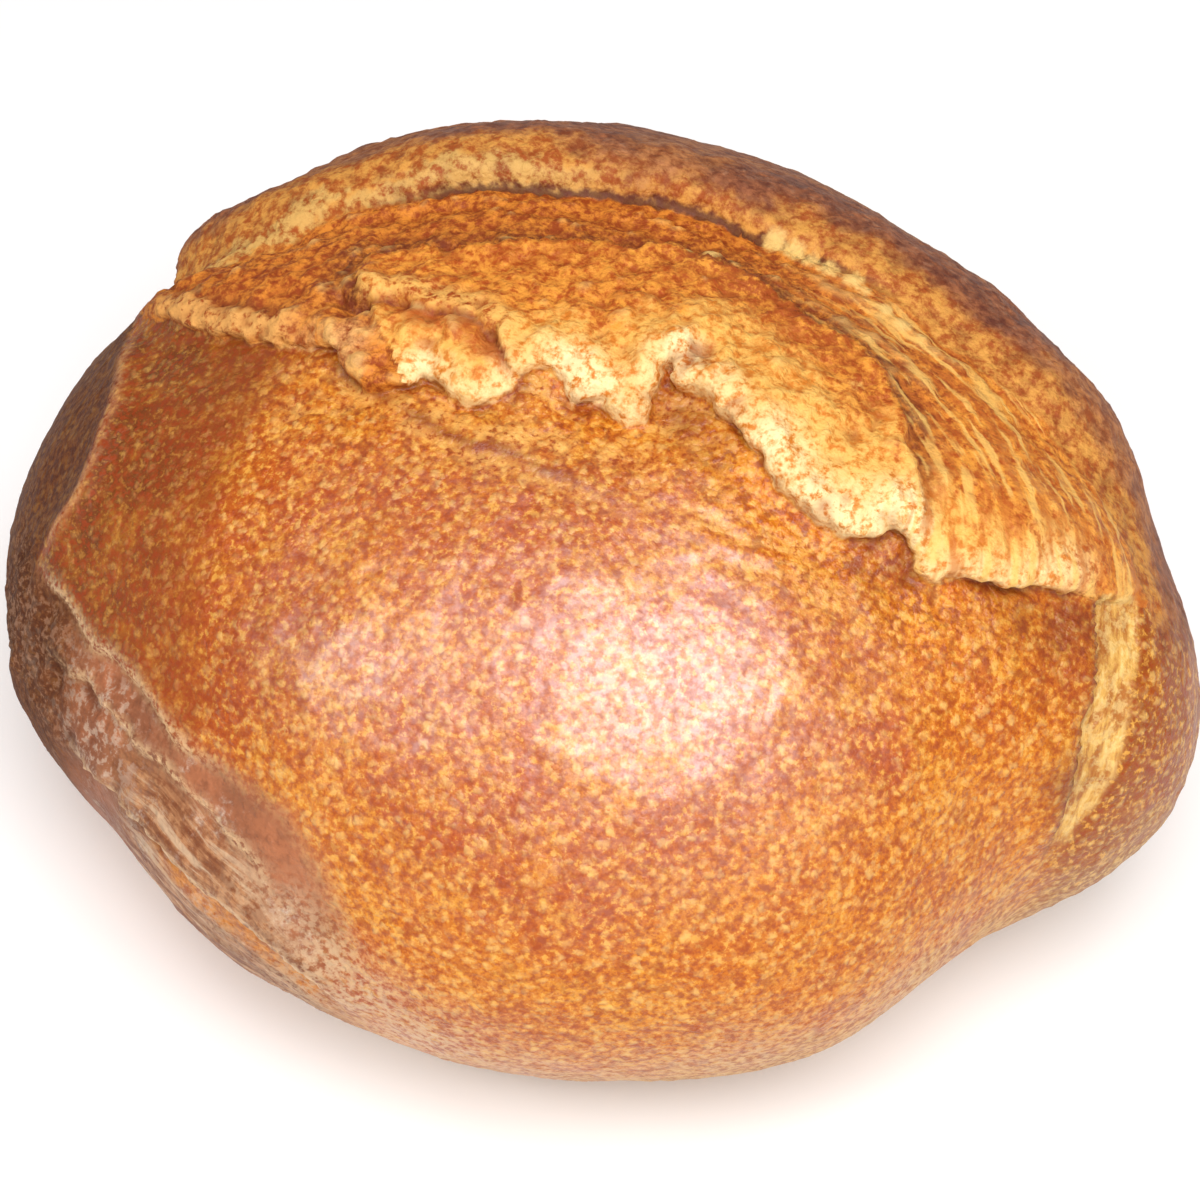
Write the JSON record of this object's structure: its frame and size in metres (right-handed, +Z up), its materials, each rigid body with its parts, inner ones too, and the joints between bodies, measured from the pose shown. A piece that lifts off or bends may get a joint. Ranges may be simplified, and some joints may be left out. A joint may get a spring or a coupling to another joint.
{
  "type": "sourdough loaf",
  "caption": "Oval hearth-baked sourdough loaf with a torn-open scored crown, resting on a flat spot under its belly.",
  "frame": {"origin": "centre of the flat rest spot under the loaf", "axes": "+X along the loaf's length, towards the burst shoulder; +Y towards the raised ear at the back; +Z up from the rest spot"},
  "size_m": [0.242, 0.2098, 0.1315],
  "materials": {
    "crust": "glossy baked crust, golden and matt in the torn opening"
  },
  "bodies": {
    "root": {"loaf": "crust"}
  },
  "joints": []
}
